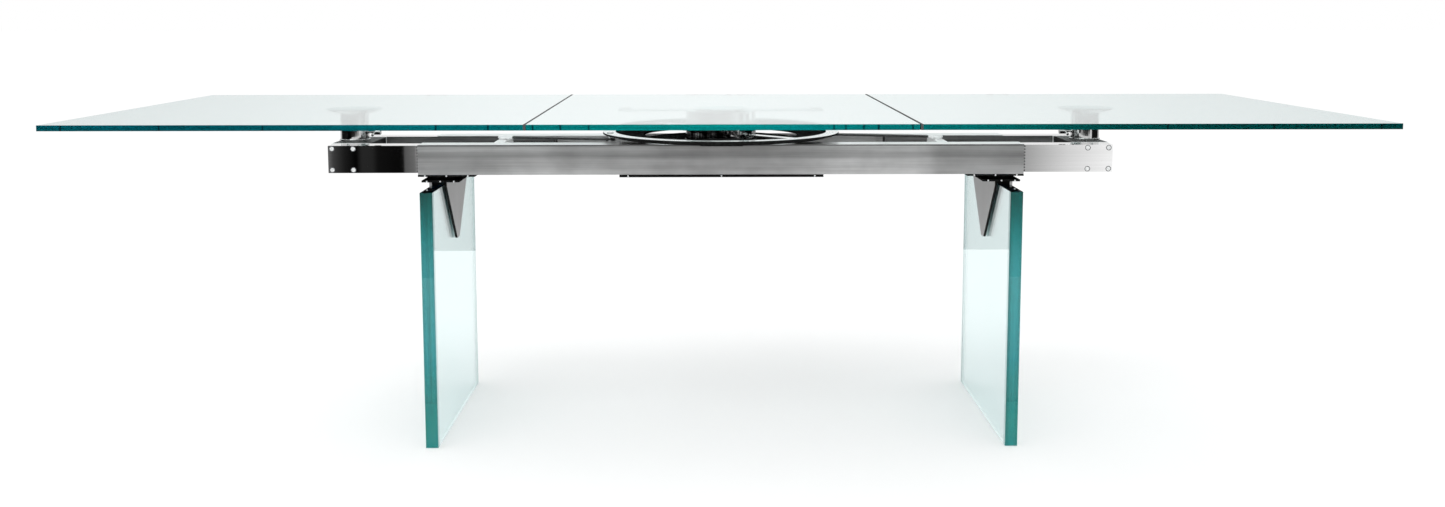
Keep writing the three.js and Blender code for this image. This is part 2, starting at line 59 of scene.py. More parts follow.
# ---- camera ---------------------------------------------------------------
CAMERA_AT = (-0.0314, -3.2865, 0.9821)
CAMERA_TILT = 0.1134  # radians below level
CAMERA_ROLL = 0.0006
CAMERA_PAN = -0.0108
SENSOR_MM = 36.0
FOCAL_MM = 34.23
SHIFT_UP = -0.0605
LONGEST_PATH = 24  # bounces, because light zigzags along the glass inside its faces

# ---- glass ----------------------------------------------------------------
GLASS_IOR = 1.5
ABSORPTION = 8.0  # per metre, shared by both glasses
TOP_ABSORBS = (0.35, 0.85, 0.85)
LEG_ABSORBS = (0.42, 0.80, 0.812)
CLEAR = ((0.985, 1.0, 0.99), (1.0, 1.0, 1.0))
END_GREY = ((0.12, 0.3, 0.33), (0.16, 0.34, 0.36))
RIM_GREY = ((0.30, 0.40, 0.40), (0.36, 0.44, 0.44))
NAVY = ((0.0, 0.02, 0.05), (0.0, 0.03, 0.07))
TOP_ARRIS = 0.35 * MM
LEG_ARRIS = 1.2 * MM
EDGE_MARKS = (-1.144, -0.584, -0.331, 0.287, 0.317, 1.126)  # dark ticks across the long edges
EDGE_MARK_HALF = 1.8 * MM
EDGE_MARK_TINT = (0.004, 0.02, 0.03)
FACE_RIM = 16 * MM  # greyed strip of a leg's face along its upright edges

# ---- metal ----------------------------------------------------------------
ALLOY_TONES = (0.90, 0.98)
ALLOY_ROUGHNESS = (0.35, 0.5)
EDGE_BREAK = 0.3 * MM
SOFT_EDGE_BREAK = 0.1 * MM
RIM_WIDTH = 31 * MM  # polished top of the ring's raised rim
RIM_BLUR = 1 * MM
NO_RIM = 1.0  # farther out than any ring reaches, so nothing on it is polished
BLOCK_SHADE_HALF = 80 * MM  # painted shade across the middle of an end block, under the post: half its width across the table
BLACK_BLUR = 2 * MM  # length over which a rod's blackening and an end block's painted shade fade out
ROD_BARE_BEFORE_PIN = 13 * MM  # a rod is bare from here, short of its outer pin

# ---- reading of node values -----------------------------------------------
NOISE_LOW, NOISE_HIGH = 0.3, 0.7  # nearly all of a noise's values lie between these
SLANTING, SQUARE = 0.88, 0.97  # how squarely an edge break and a flat face look along an axis
ON_FACE_FROM, ON_FACE_FULL = 0.55, 0.75  # the same, where a face's own colour fades in
INWARD_FROM, INWARD_FULL = -0.03, -0.06  # distance across times facing, on inner faces
COLOUR_A, COLOUR_B, COLOUR_OUT = 6, 7, 2  # colour sockets of a Mix node

# ---- studio ---------------------------------------------------------------
FLOOR_GAP = 0.5 * MM
FLOOR_HALF = 60.0
FLOOR_GREY = 0.9
FLOOR_GLOW = 0.12
CARD_Y = -2.0  # front cards; the rear card stands as far behind the table
CARD_LOW = 0.05
CARD_MID = 0.5  # top of the front and rear cards, foot of the upper card
CARD_HIGH = 0.8  # top of the upper card and of the side cards
CARD_HALF = 3.2  # half length of the upper and rear cards
FARTHEST_MIRRORED = 2.0  # place along the table where the front cards end
FAINT = [(0.0, 0.01), (1.0, 0.01)]
REAR_GLOWS = [(0.0, 0.10), (0.3, 0.22), (0.42, 0.4), (0.58, 0.45), (0.7, 0.3), (1.0, 0.12)]
BACK_CARD_Y = 6.0
BACK_CARD_HALF = 8.0
BACK_CARD_TOP = 3.0
BACK_GLOWS = [
    (0.15, 0.62), (0.3, 0.78), (0.42, 0.93), (0.5, 0.95), (0.6, 0.88), (0.7, 0.78), (0.85, 0.66),
]
SIDE_CARD_X = 3.5
SIDE_CARD_Y = {"left": (-7.0, 1.6), "right": (-2.5, 1.2)}
KEY_AT = (-1.2, -2.4, 3.6)
KEY_AWAY = (-0.3, -0.55, 0.78)  # from the table to the lamp
KEY_WATTS = 40.0
KEY_SIZE = (3.0, 2.0)


# ---- node helpers ---------------------------------------------------------
def fresh_material(name):
    """New node material with its tree and its shader."""
    material = bpy.data.materials.new(name)
    material.use_nodes = True
    tree = material.node_tree
    return material, tree, tree.nodes["Principled BSDF"]


def object_coordinates(tree):
    return tree.nodes.new("ShaderNodeTexCoord").outputs["Object"]


def noise(tree, scale, detail=4.0):
    """Noise in the piece's own space; scale is cycles per metre along X, Y and Z."""
    mapping = tree.nodes.new("ShaderNodeMapping")
    mapping.inputs["Scale"].default_value = scale
    texture = tree.nodes.new("ShaderNodeTexNoise")
    texture.inputs["Scale"].default_value = 1.0
    texture.inputs["Detail"].default_value = detail
    tree.links.new(object_coordinates(tree), mapping.inputs["Vector"])
    tree.links.new(mapping.outputs["Vector"], texture.inputs["Vector"])
    return texture.outputs["Fac"]


def even_noise(tree, scale, detail=4.0):
    """Noise of the same scale every way."""
    return noise(tree, (scale,) * 3, detail)


def streaks(tree, axis, across, along, detail=5.0):
    """Noise drawn out along one axis, as a brushed or rolled surface shows."""
    scale = [across] * 3
    scale[axis] = along
    return noise(tree, scale, detail)


def remap(tree, source, low, high, out_low=0.0, out_high=1.0):
    """Value moved from one range to another, and held at its ends."""
    node = tree.nodes.new("ShaderNodeMapRange")
    node.inputs["From Min"].default_value = low
    node.inputs["From Max"].default_value = high
    node.inputs["To Min"].default_value = out_low
    node.inputs["To Max"].default_value = out_high
    tree.links.new(source, node.inputs["Value"])
    return node.outputs["Result"]


def spread(tree, source, low, high):
    """A noise's usual range moved to low and high."""
    return remap(tree, source, NOISE_LOW, NOISE_HIGH, low, high)


def coordinate(tree, axis, kind="Object"):
    """One part of a point's place, or of its facing direction, in the piece's own space."""
    coordinates = tree.nodes.new("ShaderNodeTexCoord")
    split = tree.nodes.new("ShaderNodeSeparateXYZ")
    tree.links.new(coordinates.outputs[kind], split.inputs["Vector"])
    return split.outputs[axis]


def calculate(tree, operation, *terms):
    """Result of one arithmetic node; each term is a socket or a number."""
    node = tree.nodes.new("ShaderNodeMath")
    node.operation = operation
    for socket, term in zip(node.inputs, terms):
        if isinstance(term, float):
            socket.default_value = term
        else:
            tree.links.new(term, socket)
    return node.outputs["Value"]


def place_along(tree, axis, low, high):
    """0 to 1 as a point goes from low to high along one axis of the piece."""
    return remap(tree, coordinate(tree, axis), low, high)


def distance_along(tree, axis):
    """Distance from the middle of the table along one axis, either way."""
    return calculate(tree, "ABSOLUTE", coordinate(tree, axis))


def distance_out(tree):
    """Distance from the table's upright middle line."""
    level = tree.nodes.new("ShaderNodeMapping")
    level.inputs["Scale"].default_value = (1.0, 1.0, 0.0)
    length = tree.nodes.new("ShaderNodeVectorMath")
    length.operation = "LENGTH"
    tree.links.new(object_coordinates(tree), level.inputs["Vector"])
    tree.links.new(level.outputs["Vector"], length.inputs[0])
    return length.outputs["Value"]


def facing_share(tree, axis):
    """How squarely a surface faces along one axis of the piece, either way."""
    return calculate(tree, "ABSOLUTE", coordinate(tree, axis, "Normal"))


def near_any(tree, axis, places, half):
    """1 within a short distance of any of the places along an axis, else 0."""
    at = coordinate(tree, axis)
    found = calculate(tree, "COMPARE", at, places[0], half)
    for place in places[1:]:
        found = calculate(tree, "MAXIMUM", found, calculate(tree, "COMPARE", at, place, half))
    return found


def blend_values(tree, first, second, share):
    """Value between two others, by a fixed share of the second."""
    node = tree.nodes.new("ShaderNodeMix")
    node.data_type = "FLOAT"
    node.inputs["Factor"].default_value = share
    tree.links.new(first, node.inputs["A"])
    tree.links.new(second, node.inputs["B"])
    return node.outputs["Result"]


def ramp(tree, source, stops):
    """Colours by value; stops are (position, grey or colour)."""
    node = tree.nodes.new("ShaderNodeValToRGB")
    elements = node.color_ramp.elements
    elements.remove(elements[1])
    for i, (position, colour) in enumerate(stops):
        element = elements[0] if i == 0 else elements.new(position)
        element.position = position
        rgb = (colour,) * 3 if isinstance(colour, float) else colour
        element.color = (*rgb, 1.0)
    tree.links.new(source, node.inputs["Fac"])
    return node.outputs["Color"]


def mottled(tree, source, low, high):
    """Colours between two, over a noise's usual range."""
    return ramp(tree, source, [(NOISE_LOW, low), (NOISE_HIGH, high)])


def multiply_colours(tree, first, *others):
    result = first
    for other in others:
        node = tree.nodes.new("ShaderNodeMix")
        node.data_type = "RGBA"
        node.blend_type = "MULTIPLY"
        node.inputs["Factor"].default_value = 1.0
        tree.links.new(result, node.inputs[COLOUR_A])
        tree.links.new(other, node.inputs[COLOUR_B])
        result = node.outputs[COLOUR_OUT]
    return result


def mix_colours(tree, share, elsewhere, there):
    """The first colour where the share is 0, the second where it is 1."""
    node = tree.nodes.new("ShaderNodeMix")
    node.data_type = "RGBA"
    tree.links.new(share, node.inputs["Factor"])
    tree.links.new(elsewhere, node.inputs[COLOUR_A])
    tree.links.new(there, node.inputs[COLOUR_B])
    return node.outputs[COLOUR_OUT]


def on_arrises(tree, elsewhere, there):
    """One colour on the slanting edge breaks of a level or upright slab, another on the rest."""
    level = calculate(tree, "MAXIMUM", facing_share(tree, LENGTHWISE), facing_share(tree, ACROSS))
    squarest = calculate(tree, "MAXIMUM", level, facing_share(tree, UPRIGHT))
    return mix_colours(tree, remap(tree, squarest, SQUARE, SLANTING), elsewhere, there)


def on_faces(tree, axis, elsewhere, there):
    """One colour on the faces that look along an axis, another on the rest."""
    squarely = remap(tree, facing_share(tree, axis), ON_FACE_FROM, ON_FACE_FULL)
    return mix_colours(tree, squarely, elsewhere, there)


def bump(tree, shader, height, distance):
    node = tree.nodes.new("ShaderNodeBump")
    node.inputs["Distance"].default_value = distance
    node.inputs["Strength"].default_value = 1.0
    tree.links.new(height, node.inputs["Height"])
    tree.links.new(node.outputs["Normal"], shader.inputs["Normal"])


# ---- metals ---------------------------------------------------------------
def metal(name, tones, roughness, axis, across=700.0, along=5.0, depth=0.02 * MM):
    """Steel with streaks along an axis; tones and roughness are (low, high) pairs."""
    material, tree, shader = fresh_material(name)
    fine = streaks(tree, axis, across, along)
    broad = streaks(tree, axis, across / 10, along / 4)
    both = blend_values(tree, fine, broad, 0.5)
    shade = mottled(tree, both, *tones)
    tree.links.new(shade, shader.inputs["Base Color"])
    tree.links.new(spread(tree, both, *roughness), shader.inputs["Roughness"])
    shader.inputs["Metallic"].default_value = 1.0
    bump(tree, shader, fine, depth)
    return material, tree, shader, shade


def light_alloy(name, axis):
    return metal(name, ALLOY_TONES, ALLOY_ROUGHNESS, axis)


def outer_share(tree):
    """0 on the faces that look towards the table's long middle line, 1 on the rest."""
    outward = calculate(
        tree, "MULTIPLY", coordinate(tree, ACROSS), coordinate(tree, ACROSS, "Normal")
    )
    return remap(tree, outward, INWARD_FULL, INWARD_FROM)


def dull_inner_faces_with_painted_shade(tree, shader, polished, low, high):
    """Polish outside; inside, mill finish that scatters light instead of mirroring it, its colour
    darkened as painted shade.
    """
    outer = outer_share(tree)
    # painted shade on the faces that look inward, into the frame
    rolled = mottled(tree, streaks(tree, LENGTHWISE, 120.0, 3.0), low, high)
    tree.links.new(mix_colours(tree, outer, rolled, polished), shader.inputs["Base Color"])
    tree.links.new(outer, shader.inputs["Metallic"])
    shader.inputs["Specular IOR Level"].default_value = 0.2


def sleeve_steel():
    """Brushed beam steel with painted light: a soft darker stripe above mid height as painted
    reflection, a painted dark line along the top, painted shade near the ends and a painted
    highlight towards the right.
    """
    material, tree, shader, shade = metal("sleeve_steel", (0.58, 0.82), (0.30, 0.40), LENGTHWISE)
    low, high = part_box("sleeve_front")
    height = place_along(tree, UPRIGHT, low.z, high.z)
    wander = streaks(tree, LENGTHWISE, 60.0, 3.0)
    wavy = blend_values(tree, height, wander, 0.2)
    # painted reflection: a soft darker stripe above mid height
    painted_reflection_band = ramp(tree, wavy, [
        (0.1, 1.0), (0.3, 0.9), (0.5, 0.84), (0.6, 0.62), (0.68, 0.7), (0.76, 0.88), (0.87, 0.84),
    ])
    # painted dark reflection line along the top
    painted_top_line = ramp(tree, height, [(0.94, 1.0), (0.96, 0.42)])
    length = place_along(tree, LENGTHWISE, low.x, high.x)
    # painted shade near the ends, painted highlight towards the right
    ends = ramp(tree, length, [
        (0.0, 0.84), (0.06, 0.92), (0.2, 0.98), (0.42, 0.84), (0.5, 0.88), (0.56, 0.84),
        (0.68, 1.15), (0.82, 1.22), (0.86, 0.88), (1.0, 0.8),
    ])
    patches = ramp(tree, noise(tree, (9.0, 4.0, 14.0), 3.0), [(0.35, 0.84), (0.65, 1.08)])
    outside = multiply_colours(tree, shade, painted_reflection_band, painted_top_line, ends, patches)
    flat = mottled(tree, even_noise(tree, 30.0), 0.88, 0.97)
    # the inner faces get painted shade
    dull_inner_faces_with_painted_shade(tree, shader, on_faces(tree, ACROSS, flat, outside), 0.42, 0.58)
    return material


def rail_steel():
    """Finely polished rail, mill finish on its inner faces, darkened as painted shade."""
    material, tree, shader, shade = metal(
        "rail_steel", (0.80, 0.93), (0.02, 0.04), LENGTHWISE, 500.0, 3.0, 0.0006 * MM
    )
    dull_inner_faces_with_painted_shade(tree, shader, shade, 0.06, 0.16)
    return material


def bar_steel():
    """Blasted light alloy of the cross bars."""
    material, _, shader, _ = light_alloy("bar_steel", ACROSS)
    shader.inputs["Metallic"].default_value = 0.2
    return material


def block_steel():
    """Light alloy end block, with painted shade across the middle, under the post's foot."""
    material, tree, shader, shade = light_alloy("block_steel", ACROSS)
    # painted shade under the post's foot
    black = mottled(tree, even_noise(tree, 200.0), 0.006, 0.03)
    bare_from = BLOCK_SHADE_HALF - BLACK_BLUR
    bare = remap(tree, distance_along(tree, ACROSS), bare_from, BLOCK_SHADE_HALF)
    tree.links.new(mix_colours(tree, bare, black, shade), shader.inputs["Base Color"])
    shader.inputs["Metallic"].default_value = 0.0
    shader.inputs["Specular IOR Level"].default_value = 0.1
    return material


def rod_steel():
    """Blackened shank whose ends, at the pins on the cross bars, are bare alloy."""
    material, tree, shader, shade = light_alloy("rod_steel", LENGTHWISE)
    bare_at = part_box("cross_bar_pin_right")[0].x - ROD_BARE_BEFORE_PIN
    bare = remap(tree, distance_along(tree, LENGTHWISE), bare_at - BLACK_BLUR, bare_at)
    black = mottled(tree, even_noise(tree, 200.0), 0.03, 0.07)
    tree.links.new(mix_colours(tree, bare, black, shade), shader.inputs["Base Color"])
    shader.inputs["Metallic"].default_value = 0.0
    shader.inputs["Specular IOR Level"].default_value = 0.15
    return material


def clamp_steel(name, dark_edges):
    """Brushed faces; the edges may be darkened."""
    material, tree, shader, shade = metal(name, (0.46, 0.56), (0.32, 0.42), UPRIGHT)
    if dark_edges:
        dark = mottled(tree, even_noise(tree, 300.0), 0.006, 0.02)
        tree.links.new(on_faces(tree, LENGTHWISE, dark, shade), shader.inputs["Base Color"])
    return material


def chrome():
    return metal("chrome", (0.55, 0.62), (0.03, 0.08), UPRIGHT, 60.0, 20.0, 0.0)[0]


def turned_chrome():
    return metal("turned_chrome", (0.82, 0.95), (0.06, 0.16), UPRIGHT, 300.0, 20.0, 0.002 * MM)[0]


def ring_steel(name, bright_from):
    """Blackened ring; its flat top is polished beyond a distance from the middle."""
    material, tree, shader, shade = metal(
        name, (0.88, 0.97), (0.12, 0.2), UPRIGHT, 300.0, 20.0, 0.002 * MM
    )
    outer = remap(tree, distance_out(tree), bright_from - RIM_BLUR, bright_from)
    flat = remap(tree, facing_share(tree, UPRIGHT), 0.8, 0.9)
    polished = calculate(tree, "MULTIPLY", outer, flat)
    black = mottled(tree, even_noise(tree, 200.0), 0.004, 0.02)
    tree.links.new(mix_colours(tree, polished, black, shade), shader.inputs["Base Color"])
    tree.links.new(polished, shader.inputs["Metallic"])
    shader.inputs["Specular IOR Level"].default_value = 0.0
    return material


def drum_steel():
    """Turned drum whose lower half carries strong upright lines of painted reflection."""
    material, tree, shader, shade = metal("drum_steel", (0.8, 0.95), (0.08, 0.16), UPRIGHT)
    # painted reflection: strong upright dark and light lines
    painted_reflection_lines = ramp(tree, streaks(tree, UPRIGHT, 150.0, 0.5, 3.0), [
        (0.42, 0.04), (0.52, 0.5), (0.6, 1.0),
    ])
    with_painted_reflection_lines = multiply_colours(tree, shade, painted_reflection_lines)
    low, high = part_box("lift_drum")
    upward = remap(tree, place_along(tree, UPRIGHT, low.z, high.z), 0.45, 0.55)
    tree.links.new(mix_colours(tree, upward, with_painted_reflection_lines, shade), shader.inputs["Base Color"])
    return material


def zinc():
    """Even grey plating of the screws."""
    material, _, shader, _ = metal("zinc", (0.8, 0.95), (0.3, 0.45), UPRIGHT, 900.0, 900.0)
    shader.inputs["Metallic"].default_value = 0.4
    return material


# ---- coatings and plastics ------------------------------------------------
def mottled_finish(name, scale, detail, tones, roughness):
    """Slightly mottled surface; tones and roughness are (low, high) pairs."""
    material, tree, shader = fresh_material(name)
    mottle = even_noise(tree, scale, detail)
    tree.links.new(mottled(tree, mottle, *tones), shader.inputs["Base Color"])
    tree.links.new(spread(tree, mottle, *roughness), shader.inputs["Roughness"])
    return material, tree, shader, mottle


def plate_steel():
    """Dull black coating with a fine texture."""
    material, tree, shader, _ = mottled_finish(
        "plate_steel", 180.0, 8.0, (0.004, 0.014), (0.6, 0.8)
    )
    shader.inputs["Specular IOR Level"].default_value = 0.0
    bump(tree, shader, even_noise(tree, 1500.0), 0.03 * MM)
    return material


def rubber():
    material, tree, shader, mottle = mottled_finish(
        "rubber", 400.0, 6.0, (0.004, 0.012), (0.6, 0.8)
    )
    shader.inputs["Specular IOR Level"].default_value = 0.0
    bump(tree, shader, mottle, 0.05 * MM)
    return material


def nylon():
    material, tree, shader, mottle = mottled_finish(
        "nylon", 250.0, 6.0, (0.55, 0.68), (0.35, 0.5)
    )
    bump(tree, shader, mottle, 0.03 * MM)
    return material


# ---- glass ----------------------------------------------------------------
def glass(name, absorbs, colour):
    """Clear glass that is teal along its depth, by absorption, with faint float waviness."""
    material, tree, shader = fresh_material(name)
    shader.inputs["Transmission Weight"].default_value = 1.0
    shader.inputs["IOR"].default_value = GLASS_IOR
    wave = even_noise(tree, 3.0, 2.0)
    tree.links.new(colour(tree, wave), shader.inputs["Base Color"])
    tree.links.new(spread(tree, wave, 0.0, 0.01), shader.inputs["Roughness"])
    volume = tree.nodes.new("ShaderNodeVolumeAbsorption")
    volume.inputs["Color"].default_value = (*absorbs, 1.0)
    volume.inputs["Density"].default_value = ABSORPTION
    tree.links.new(volume.outputs["Volume"], tree.nodes["Material Output"].inputs["Volume"])
    return material


def leaf_colour(tree, wave):
    """Clear faces, tinted long edges, greyer ends."""
    clear = mottled(tree, wave, *CLEAR)
    sides = on_faces(tree, ACROSS, clear, top_edge_tint(tree))
    return on_faces(tree, LENGTHWISE, sides, mottled(tree, wave, *END_GREY))


def leg_colour(tree, wave):
    """Clear faces with a greyed rim, tinted upright edges, navy ends and grey edge breaks."""
    clear = mottled(tree, wave, *CLEAR)
    sides = on_faces(tree, ACROSS, clear, leg_edge_tint(tree))
    edge_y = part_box("glass_leg_left")[1].y
    rim = calculate(tree, "GREATER_THAN", distance_along(tree, ACROSS), edge_y - FACE_RIM)
    rim = calculate(tree, "MULTIPLY", rim, facing_share(tree, LENGTHWISE))
    sides = mix_colours(tree, rim, sides, mottled(tree, wave, *RIM_GREY))
    sides = on_faces(tree, UPRIGHT, sides, mottled(tree, wave, *NAVY))
    return on_arrises(tree, sides, mottled(tree, wave, *END_GREY))


def top_edge_tint(tree):
    """Long edges of the leaves: teal, with painted shade deepening it towards both ends, streaky,
    with small dark ticks.
    """
    reach = CAD_BOX[1].x
    # painted shade: the teal edge darkens towards both ends of the table
    depth = ramp(tree, place_along(tree, LENGTHWISE, -reach, reach), [
        (0.0, (0.10, 0.33, 0.46)), (0.155, (0.10, 0.37, 0.48)), (0.264, (0.2, 0.6, 0.72)),
        (0.338, (0.2, 0.64, 0.72)), (0.41, (0.3, 1.0, 1.0)), (0.5, (0.3, 1.0, 1.0)),
        (0.556, (0.3, 0.93, 1.0)), (0.63, (0.2, 0.7, 0.74)), (0.702, (0.15, 0.72, 0.74)),
        (0.775, (0.10, 0.35, 0.35)), (0.848, (0.06, 0.22, 0.22)), (1.0, (0.06, 0.2, 0.2)),
    ])
    wander = ramp(tree, streaks(tree, LENGTHWISE, 160.0, 3.0, 2.0), [(0.35, 0.68), (0.6, 1.0)])
    marks = near_any(tree, LENGTHWISE, EDGE_MARKS, EDGE_MARK_HALF)
    ticks = ramp(tree, marks, [(0.0, 1.0), (1.0, EDGE_MARK_TINT)])
    low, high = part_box("centre_leaf")
    layers = ramp(tree, place_along(tree, UPRIGHT, low.z, high.z), [
        (0.0, (1.0, 1.0, 0.86)), (0.35, (1.0, 1.0, 0.92)), (0.5, (0.8, 0.66, 0.68)),
        (0.62, (1.0, 0.92, 1.0)), (0.85, (1.0, 1.0, 1.0)), (1.0, (0.8, 0.8, 0.85)),
    ])
    return multiply_colours(tree, depth, wander, layers, ticks)


def leg_edge_tint(tree):
    """Upright edges of the legs: painted shade darkens them under the beams, with the lines of
    the laminate.
    """
    low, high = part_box("glass_leg_right")
    # painted shade: darker towards the top, under the beams
    depth = ramp(tree, place_along(tree, UPRIGHT, low.z, high.z), [
        (0.0, (0.13, 0.8, 0.64)), (0.12, (0.12, 0.85, 0.75)), (0.19, (0.1, 0.82, 0.86)),
        (0.195, (0.3, 0.92, 0.95)), (0.5, (0.66, 1.0, 1.0)), (0.7, (0.8, 0.97, 0.97)),
        (0.82, (0.14, 0.59, 0.54)), (0.97, (0.008, 0.22, 0.18)), (1.0, (0.005, 0.17, 0.15)),
    ])
    lines = ramp(tree, streaks(tree, UPRIGHT, 260.0, 1.5, 2.0), [(0.4, 0.66), (0.6, 1.0)])
    inward = remap(tree, distance_along(tree, LENGTHWISE), high.x, low.x)
    across = ramp(tree, inward, [
        (0.0, (0.7, 0.62, 0.55)), (0.35, (0.8, 0.85, 0.85)), (0.8, (1.0, 1.0, 1.0)),
        (1.0, (0.3, 0.5, 0.5)),
    ])
    return multiply_colours(tree, depth, lines, across)


# ---- finish of the CAD nodes ----------------------------------------------
def paint(material, names, bevel=EDGE_BREAK):
    """Material and a small edge break for CAD nodes."""
    for name in names:
        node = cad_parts[name]
        node.data.materials.clear()
        node.data.materials.append(material)
        edge = node.modifiers.new("edge_break", "BEVEL")
        edge.width = bevel
        edge.segments = 2
        edge.limit_method = "ANGLE"
        edge.harden_normals = True


def both_sides(*stems):
    return [f"{stem}_{label}" for stem in stems for label in SIDES]


def paint_frame():
    plates = both_sides("leg_mount_plate", "leg_head_plate", "leg_spacer")
    posts = both_sides("post", "leaf_disc", "lock_knob", "crank_pin")
    shiny = ["lift_shaft", "lift_disc", "centre_column"]
    paint(sleeve_steel(), ["sleeve_front", "sleeve_back"])
    paint(rail_steel(), both_sides("rail_front", "rail_back"))
    paint(bar_steel(), both_sides("cross_bar", "cross_bar_pin") + ["lift_arm"])
    paint(block_steel(), both_sides("end_block"))
    paint(rod_steel(), both_sides("link_rod"))
    paint(clamp_steel("clamp_steel_dark_edged", True), both_sides("leg_clamp_inner"))
    paint(clamp_steel("clamp_steel", False), both_sides("leg_clamp_outer"))
    paint(plate_steel(), plates + ["mechanism_plate", "grease_shield"])
    paint(chrome(), posts)
    paint(drum_steel(), ["lift_drum"])
    paint(turned_chrome(), shiny + both_sides("cam_arm"))
    rim_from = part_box("rotor_ring")[1].x - RIM_WIDTH
    paint(ring_steel("ring_steel", rim_from), ["rotor_ring"])
    paint(ring_steel("race_steel", NO_RIM), ["guide_race"])
    paint(rubber(), both_sides("seam_seal", "leg_gasket"), SOFT_EDGE_BREAK)
    paint(nylon(), both_sides("lift_pad"))


def paint_glass():
    """Both glasses, without the dark shadows that rendered glass casts."""
    leaves = both_sides("outer_leaf") + ["centre_leaf"]
    legs = both_sides("glass_leg")
    paint(glass("top_glass", TOP_ABSORBS, leaf_colour), leaves, TOP_ARRIS)
    paint(glass("leg_glass", LEG_ABSORBS, leg_colour), legs, LEG_ARRIS)
    for name in leaves + legs:
        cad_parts[name].visible_shadow = False


# ---- mesh helpers ---------------------------------------------------------
SMOOTH_BELOW = 35.0  # degrees between faces that still shade as one surface
LEVER_SMOOTH_BELOW = 50.0
ROUND_COUNT = 24
COARSE_COUNT = 12
LEVER_COUNT = 16
CHAMFER_BY_HEIGHT = 0.35
CHAMFER_BY_RADIUS = 0.12
BLOCK_FACES = (
    (0, 1, 3, 2), (4, 6, 7, 5), (0, 4, 5, 1), (2, 3, 7, 6), (0, 2, 6, 4), (1, 5, 7, 3),
)


def piece(name, mesh_maker, material, body):
    """Object from a bmesh-filling function, riding on a body."""
    mesh = bpy.data.meshes.new(name)
    shape = bmesh.new()
    mesh_maker(shape)
    bmesh.ops.recalc_face_normals(shape, faces=shape.faces)
    shape.to_mesh(mesh)
    shape.free()
    made = bpy.data.objects.new(name, mesh)
    bpy.context.scene.collection.objects.link(made)
    mesh.materials.append(material)
    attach(made, body)
    return made


def ring_of(shape, radii, height, turn):
    """Ring of vertices at the given radii, placed by a matrix."""
    count = len(radii)
    points = []
    for i, radius in enumerate(radii):
        angle = 2 * math.pi * i / count
        points.append(turn @ Vector((radius * math.cos(angle), radius * math.sin(angle), height)))
    return [shape.verts.new(p) for p in points]


def bridge(shape, first, second):
    """Band of faces between two rings."""
    count = len(first)
    for i in range(count):
        j = (i + 1) % count
        shape.faces.new((first[i], first[j], second[j], second[i]))


def skin(shape, rings):
    """Closed surface through rings in order, capped at both ends."""
    for first, second in zip(rings, rings[1:]):
        bridge(shape, first, second)
    shape.faces.new(rings[-1])
    shape.faces.new(list(reversed(rings[0])))


def hexagon_radii(across_flats, count):
    """Polar radii of a hexagon sampled at equal angles."""
    half = across_flats / 2
    step = math.pi / 3
    radii = []
    for i in range(count):
        angle = 2 * math.pi * i / count
        radii.append(half / math.cos((angle % step) - step / 2))
    return radii


def disc(shape, turn, radius, height):
    """Flat round plug, standing along the matrix's Z."""
    skin(shape, [ring_of(shape, [radius] * ROUND_COUNT, z, turn) for z in (0.0, height)])


def screw_head(shape, turn, radius, height, socket, depth, count=ROUND_COUNT):
    """Round head with a chamfer and a six-sided socket, standing along the matrix's Z."""
    chamfer = min(CHAMFER_BY_HEIGHT * height, CHAMFER_BY_RADIUS * radius)
    rings = [
        ([radius] * count, 0.0),
        ([radius] * count, height - chamfer),
        ([radius - chamfer] * count, height),
        (hexagon_radii(socket, count), height),
        (hexagon_radii(socket, count), height - depth),
    ]
    skin(shape, [ring_of(shape, radii, z, turn) for radii, z in rings])


def block(shape, low, high):
    """Box between two corners."""
    verts = [shape.verts.new(corner) for corner in product(*zip(low, high))]
    for face in BLOCK_FACES:
        shape.faces.new([verts[i] for i in face])


def facing(at, axis):
    """Matrix that puts +Z along an axis at a point."""
    turn = Vector((0, 0, 1)).rotation_difference(Vector(axis)).to_matrix().to_4x4()
    return Matrix.Translation(at) @ turn


def smooth_by_angle(made, degrees=SMOOTH_BELOW):
    for polygon in made.data.polygons:
        polygon.use_smooth = True
    made.data.set_sharp_from_angle(angle=math.radians(degrees))


# ---- screws and small fittings --------------------------------------------
RAIL_SCREW_RADIUS = 4.8 * MM
# radius of the dark disc under a rail screw, a painted shadow
RAIL_SCREW_RING = 6.4 * MM
RAIL_SCREW_PROUD = 0.2 * MM
RAIL_SCREW_INSET_X = (9.0 * MM, 57.5 * MM)
RAIL_SCREW_INSET_Z = 7.0 * MM
EDGE_SCREW_RADIUS = 1.9 * MM
EDGE_SCREW_HEIGHT = 1.3 * MM
MECHANISM_SCREW_INSET = 20 * MM
LEG_PLATE_SCREW_INSETS = {"leg_mount_plate": 16 * MM, "leg_head_plate": 12 * MM}
WIPER_SKIN = 0.4 * MM  # beam wall that is left outside a wiper
WIPER_DEPTH = 3.3 * MM
WIPER_WIDTH = 3.2 * MM
WIPER_TOOTH = 3.2 * MM
WIPER_PITCH = 7.0 * MM
SEAM_LIP = 0.15 * MM
SEAM_LIP_WIDTH = 5.2 * MM
LIP_PROFILE = [(-0.5, 0.0), (-0.42, 0.7), (0.0, 1.0), (0.42, 0.7), (0.5, 0.0)]  # width, height
LEVER_RADIUS = 2.2 * MM
LEVER_ROOT = 2 * MM  # inside the knob
LEVER_REACH = 24 * MM
LEVER_DROP = 6 * MM
LEVER_PROFILE = [  # share of the radius, share of the length
    (0.9, 0.0), (0.8, 0.7), (1.0, 0.78), (1.5, 0.86), (1.5, 0.94), (0.9, 1.0),
]


